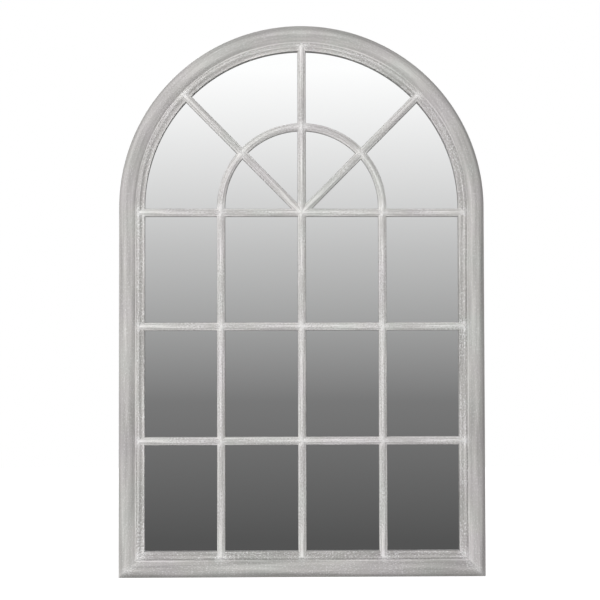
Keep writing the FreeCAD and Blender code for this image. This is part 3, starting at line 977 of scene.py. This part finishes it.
def ring_piece(hand):
    name = f"hanger_ring_{hand}"
    low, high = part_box(name)
    half = (high.x - low.x) / 2 - wire_radius
    centre = Vector(((low.x + high.x) / 2, (low.y + high.y) / 2, high.z - wire_radius))
    bar_half = half - bend_radius
    bm = bmesh.new()
    start = Matrix.Translation(centre - X_AXIS * bar_half) @ Matrix.Rotation(math.pi / 2, 4, "Y")
    bmesh.ops.create_circle(bm, cap_ends=False, segments=wire_sides, radius=wire_radius,
                            matrix=start)
    corner_right = centre + Vector((bar_half, 0, -bend_radius))
    corner_left = centre + Vector((-bar_half, 0, -bend_radius))
    leg = Z_AXIS * (leg_length - bend_radius)
    wire = bm.verts[:] + bm.edges[:]
    wire = sweep(bm, wire, 1, run=X_AXIS * 2 * bar_half)
    wire = sweep(bm, wire, bend_steps, about=corner_right, axis=Y_AXIS, degrees=90)
    wire = sweep(bm, wire, 1, run=-leg)
    wire = sweep(bm, wire, bow_steps, about=centre - Z_AXIS * leg_length, axis=Y_AXIS, degrees=180)
    wire = sweep(bm, wire, 1, run=leg)
    sweep(bm, wire, bend_steps, about=corner_left, axis=Y_AXIS, degrees=90)
    bmesh.ops.remove_doubles(bm, verts=bm.verts[:], dist=wire_weld)
    return finish_piece(bm, f"wire_{name}", name, f"{hand}_ring")


rings = [ring_piece(hand) for hand in ("left", "right")]
wear(rings, steel)
print("rings:", [len(piece.data.polygons) for piece in rings])

# %% [markdown]
# ## Screw heads and bumpers
# Both are turned shapes: half an outline spun once round its axis. A screw's cross recess is
# made by sinking the points of the dome that lie on either arm of the cross.

# %% Turn the screw heads and the bumpers
screw_radius = 3.2 * mm
screw_rise = 1.6 * mm
screw_rounds = 24                # rings of points from a head's rim to its middle
screw_sides = 96
strap_thick = 1.2 * mm
recess_reach = 1.7 * mm
recess_half = 0.45 * mm
recess_rise = screw_rise / 3     # the recess's floor above the strap
bumper_radius = 7.0 * mm
bumper_rise = 6.0 * mm
bumper_round = 1.5 * mm
round_rings = 8
bumper_sides = 64


def turned(bm, centre, profile, sides):
    """Add a closed turned shape; profile runs from the rim at the seat to the axis."""
    corners = [(0.0, 0.0)] + list(profile)
    verts = [bm.verts.new(centre + Vector((reach, rise, 0))) for reach, rise in corners]
    edges = [bm.edges.new(pair) for pair in zip(verts, verts[1:])]
    sweep(bm, verts + edges, sides, about=centre, axis=Y_AXIS, degrees=360, merge=True)
    bmesh.ops.remove_doubles(bm, verts=bm.verts[:], dist=weld_reach)


def dome(reach, rise, rounds, flat=0.0):
    """Quarter round from the rim to a flat of the given radius on the axis."""
    points = []
    for index in range(rounds + 1):
        angle = math.pi / 2 * index / rounds
        points.append((flat + (reach - flat) * math.cos(angle), rise * math.sin(angle)))
    return points if flat == 0.0 else points + [(0.0, rise)]


def sink_cross(bm, centre):
    for vert in bm.verts:
        away = vert.co - centre
        on_arm = min(abs(away.x), abs(away.z)) < recess_half
        if on_arm and math.hypot(away.x, away.z) < recess_reach and away.y > recess_rise:
            vert.co.y = centre.y + recess_rise


screw_low, screw_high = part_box("strap_screws")
bumper_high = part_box("wall_bumpers")[1]
screws = bmesh.new()
for side in (-1, 1):
    for z in (screw_low.z + screw_radius, screw_high.z - screw_radius):
        seat = Vector((side * (screw_high.x - screw_radius), back_y + strap_thick, z))
        turned(screws, seat, dome(screw_radius, screw_rise, screw_rounds), screw_sides)
        sink_cross(screws, seat)
screw_heads = finish_piece(screws, "cross_head_screws", "strap_screws", "frame")
pads = bmesh.new()
rim = [(bumper_radius, 0.0), (bumper_radius, bumper_rise - bumper_round)]
pad_top = [(reach, rise + bumper_rise - bumper_round)
           for reach, rise in dome(bumper_radius, bumper_round, round_rings,
                                   bumper_radius - bumper_round)]
for side in (-1, 1):
    seat = Vector((side * (bumper_high.x - bumper_radius), back_y, bumper_high.z - bumper_radius))
    turned(pads, seat, rim + pad_top[1:], bumper_sides)
rubber_pads = finish_piece(pads, "rubber_pads", "wall_bumpers", "frame")
wear([screw_heads], steel)
wear([rubber_pads], rubber)
print("screw heads:", len(screw_heads.data.polygons), "pads:", len(rubber_pads.data.polygons))

# %% [markdown]
# ## Studio
# The photograph has a pure white ground, soft light from the front, a little more of it from the
# left and above, and something graded from white above to dark grey below that shows in the
# glass. So the world is white to the camera and dim to the wood, a large lamp stands near the
# camera with weaker ones at the sides and behind, and a tall curved screen with a vertical grade
# stands behind the camera, seen only in reflections.

# %% World and floor
def seen_rays(tree):
    """1 for rays that make a picture: straight ones, mirrored ones and ones through glass."""
    path = add_node(tree, "ShaderNodeLightPath")
    seen = maths(tree, "MAXIMUM", path.outputs["Is Camera Ray"], path.outputs["Is Glossy Ray"])
    return maths(tree, "MAXIMUM", seen, path.outputs["Is Transmission Ray"])


world_light = 0.07              # how bright the white world is to the wood


def white_world():
    world = bpy.data.worlds.new("white_studio")
    bpy.context.scene.world = world
    world.use_nodes = True
    tree = world.node_tree
    background = tree.nodes["Background"]
    background.inputs["Color"].default_value = (1, 1, 1, 1)
    seen = seen_rays(tree)
    level = add_node(tree, "ShaderNodeMapRange", {
        "Value": seen, "To Min": world_light, "To Max": 1.0})
    tree.links.new(level.outputs["Result"], background.inputs["Strength"])


floor_front = -0.30
floor_back = 2.60
floor_half = 3.0
floor_lift = 0.5                # share of glow mixed in where a picture ray meets the floor
floor_glow = 2.0


def studio_floor():
    bm = bmesh.new()
    bmesh.ops.create_grid(bm, x_segments=1, y_segments=1, size=1.0)
    middle = (floor_front + floor_back) / 2
    reach = (floor_back - floor_front) / 2
    bmesh.ops.scale(bm, vec=(floor_half, reach, 1), verts=bm.verts[:])
    bmesh.ops.translate(bm, vec=(0, middle, 0), verts=bm.verts[:])
    floor = make_object(bm, "studio_floor")
    material, tree, shader = new_material("pale_floor")
    shader.inputs["Base Color"].default_value = (0.4, 0.4, 0.4, 1)
    shader.inputs["Roughness"].default_value = 0.9
    shader.inputs["Specular IOR Level"].default_value = 0.0
    glow = add_node(tree, "ShaderNodeEmission", {"Strength": floor_glow})
    lift = maths(tree, "MULTIPLY", seen_rays(tree), floor_lift)
    shown = add_node(tree, "ShaderNodeMixShader", {
        0: lift, 1: shader.outputs[0], 2: glow.outputs[0]})
    tree.links.new(shown.outputs[0], tree.nodes["Material Output"].inputs["Surface"])
    floor.data.materials.append(material)


white_world()
studio_floor()

# %% Graded screen behind the camera
screen_radius = 6.0
screen_low = -3.0
screen_high = 4.0
screen_steps = 48
screen_glow = 1.03
screen_grade = [(-0.75, 84), (0.12, 120), (1.06, 191), (1.90, 241), (2.20, 255)]   # height, grey


def graded_screen():
    bm = bmesh.new()
    low = bm.verts.new((-screen_radius, 0, screen_low))
    high = bm.verts.new((-screen_radius, 0, screen_high))
    edge = bm.edges.new((low, high))
    sweep(bm, [low, high, edge], screen_steps, degrees=180)
    screen = make_object(bm, "graded_screen")
    screen.visible_camera = False
    screen.visible_diffuse = False
    screen.visible_shadow = False
    material = bpy.data.materials.new("graded_screen")
    material.use_nodes = True
    tree = material.node_tree
    tree.nodes.clear()
    place = object_place(tree)
    height = add_node(tree, "ShaderNodeSeparateXYZ", {"Vector": place}).outputs["Z"]
    share = ramp(tree, height, screen_low, screen_high)
    steps = [((at_height - screen_low) / (screen_high - screen_low), grey(level))
             for at_height, level in screen_grade]
    glow = add_node(tree, "ShaderNodeEmission", {
        "Color": colour_steps(tree, share, steps), "Strength": screen_glow})
    output = add_node(tree, "ShaderNodeOutputMaterial")
    tree.links.new(glow.outputs[0], output.inputs["Surface"])
    screen.data.materials.append(material)
    return screen


screen = graded_screen()
print("screen spans y", round(min(v.co.y for v in screen.data.vertices), 2), "to 0")

# %% Lamps
lamp_width = 1.2
lamp_target = Vector((0, 0, 0.6))
lamps = [                       # name, place and power
    ("key_lamp", (-0.66, -3.52, 1.15), 117),
    ("left_lamp", (-2.36, -1.10, 0.65), 10),
    ("right_lamp", (2.36, -1.10, 0.65), 1),
    ("back_lamp_1", (-2.0, 2.4, 1.2), 42),
    ("back_lamp_3", (2.0, 2.4, 1.2), 42),
]


def soft_lamp(name, place, power):
    lamp = bpy.data.lights.new(name, "AREA")
    lamp.shape = "SQUARE"
    lamp.size = lamp_width
    lamp.energy = power
    holder = bpy.data.objects.new(name, lamp)
    bpy.context.scene.collection.objects.link(holder)
    holder.location = place
    holder.rotation_mode = "QUATERNION"
    holder.rotation_quaternion = (lamp_target - Vector(place)).to_track_quat("-Z", "Y")
    holder.visible_glossy = False


for name, place, power in lamps:
    soft_lamp(name, place, power)
print("lamps:", len(lamps))

# %% [markdown]
# ## Camera
# The photograph's outline fits a camera three metres away, a little to the left and below the
# middle, turned and tilted by about a degree. Its lens is set so that the mirror fills the frame
# as it does there.

# %% Place the camera
camera_place = Vector((-59.4, -3006.0, 487.6)) * mm
camera_yaw = math.radians(1.055)
camera_pitch = math.radians(1.671)
camera_roll = math.radians(-0.117)
focal_length = 86.33            # in millimetres, for the sensor's width below
sensor_width = 36.0

lens = bpy.data.cameras.new("camera")
lens.lens = focal_length
lens.sensor_width = sensor_width
camera = bpy.data.objects.new("camera", lens)
bpy.context.scene.collection.objects.link(camera)
camera.location = camera_place
heading = Matrix.Rotation(-camera_yaw, 4, "Z")
heading = heading @ Matrix.Rotation(math.pi / 2 + camera_pitch, 4, "X")
camera.rotation_mode = "QUATERNION"
camera.rotation_quaternion = (heading @ Matrix.Rotation(camera_roll, 4, "Z")).to_quaternion()
bpy.context.scene.camera = camera
bpy.context.scene.view_settings.view_transform = "Standard"
